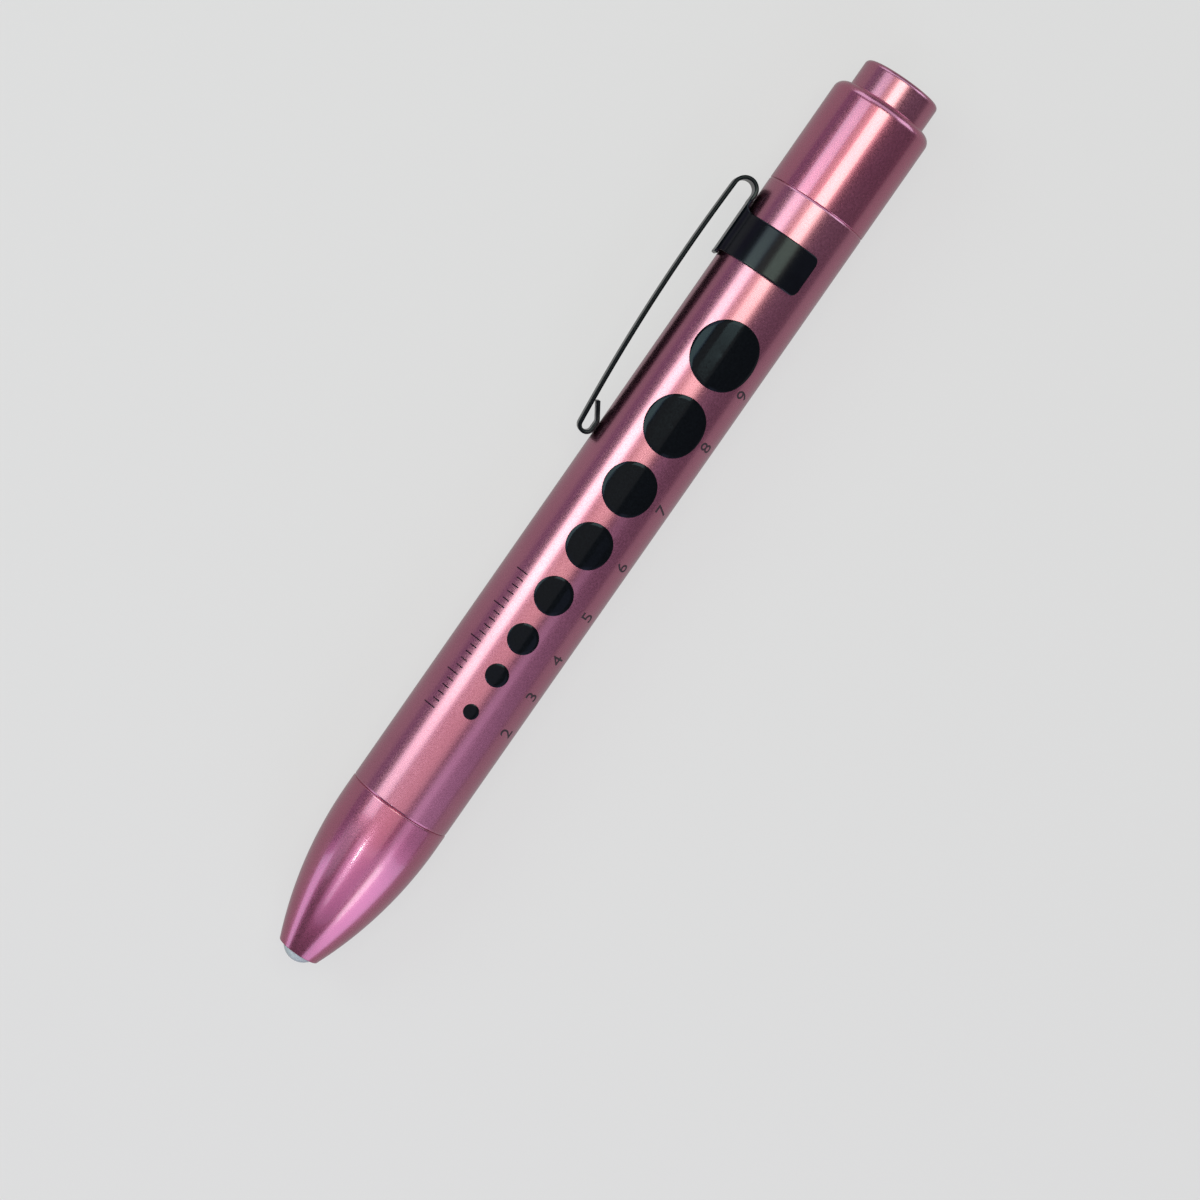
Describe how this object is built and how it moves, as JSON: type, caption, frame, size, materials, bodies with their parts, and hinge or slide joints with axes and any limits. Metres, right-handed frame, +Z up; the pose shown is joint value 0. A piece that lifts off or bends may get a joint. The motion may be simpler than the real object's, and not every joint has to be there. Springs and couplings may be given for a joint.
{
  "type": "penlight",
  "caption": "Slim round penlight with a curved nose around a domed lamp, a push-button tail switch, a sprung pocket clip and a printed row of gauge dots.",
  "frame": {"origin": "centre of the push button's flat end face, on the barrel's axis, with the button out", "axes": "+X along the barrel's axis, from the button to the lamp; -Y towards the pocket clip; +Z up, the side that the gauge dots face"},
  "size_m": [0.1328, 0.0174, 0.0148],
  "materials": {
    "anodised": "satin rose-pink anodising",
    "clip_steel": "glossy black coating",
    "ink": "semi-gloss black printing ink",
    "lens": "clear moulded resin",
    "phosphor": "matte",
    "cell_jacket": "printed foil jacket, left plain",
    "spring_steel": "bright nickel plating",
    "brass": "bright",
    "white_plastic": "moulded",
    "black_plastic": "moulded",
    "board": "solder mask",
    "resistor": "glazed ceramic",
    "rubber": "matte"
  },
  "bodies": {
    "barrel": {"barrel": "anodised", "front_battery": "cell_jacket", "rear_battery": "cell_jacket", "gauge_dots": "ink", "tail_seal": "rubber"},
    "clip": {"clip_band": "clip_steel"},
    "clip_arm": {"clip_arm": "clip_steel"},
    "nose_seal": {"nose_seal": "rubber"},
    "nose": {"nose_cone": "anodised", "led_lens": "lens", "led_lead_frame": "spring_steel", "led_chip": "phosphor", "led_holder": "white_plastic", "driver_board": "board", "resistor": "resistor", "ground_ring": "brass", "front_contact": "brass"},
    "battery_spring": {"battery_spring": "spring_steel"},
    "tail": {"tail_cap": "anodised", "switch_housing": "black_plastic", "fixed_contact": "brass", "insulating_washer": "white_plastic", "spring_terminal": "brass", "retaining_ring": "spring_steel", "return_spring": "spring_steel"},
    "button": {"push_button": "anodised", "switch_plunger": "white_plastic"},
    "rotor": {"latch_rotor": "white_plastic", "moving_contact": "brass"}
  },
  "joints": [
    {"name": "clip_turn", "type": "hinge", "parent": "barrel", "child": "clip", "pos_m": [0.0269, 0, 0], "axis": [1, 0, 0], "continuous": true},
    {"name": "clip_flex", "type": "hinge", "parent": "clip", "child": "clip_arm", "pos_m": [0.02196, -0.00868, 0], "axis": [0, 0, -1], "range_deg": [0, 6], "stiffness_Nm_per_rad": 0.65, "springref_deg": -1.72},
    {"name": "nose_draw", "type": "slide", "parent": "barrel", "child": "nose_seal", "axis": [1, 0, 0], "range_m": [0, 0.005]},
    {"name": "nose_turn", "type": "hinge", "parent": "nose_seal", "child": "nose", "pos_m": [0.10905, 0, 0], "axis": [1, 0, 0], "range_deg": [0, 1800]},
    {"name": "tail_draw", "type": "slide", "parent": "barrel", "child": "battery_spring", "axis": [-1, 0, 0], "range_m": [0, 0.005]},
    {"name": "tail_turn", "type": "hinge", "parent": "battery_spring", "child": "tail", "pos_m": [0.0187, 0, 0], "axis": [-1, 0, 0], "range_deg": [0, 1800]},
    {"name": "button_press", "type": "slide", "parent": "tail", "child": "button", "axis": [1, 0, 0], "range_m": [0, 0.0022], "stiffness_N_per_m": 1000, "springref_m": -0.002, "deforming": ["return_spring"]},
    {"name": "latch_turn", "type": "hinge", "parent": "button", "child": "rotor", "pos_m": [0.0073, 0, 0], "axis": [1, 0, 0], "range_deg": [0, 22.5]}
  ],
  "couplings": [
    {"joint": "nose_turn", "follows": "nose_draw", "rad_per_m": 6283.2},
    {"joint": "tail_turn", "follows": "tail_draw", "rad_per_m": 6283.2},
    {"joint": "latch_turn", "follows": "button_press", "rad_per_m": 178.5}
  ]
}
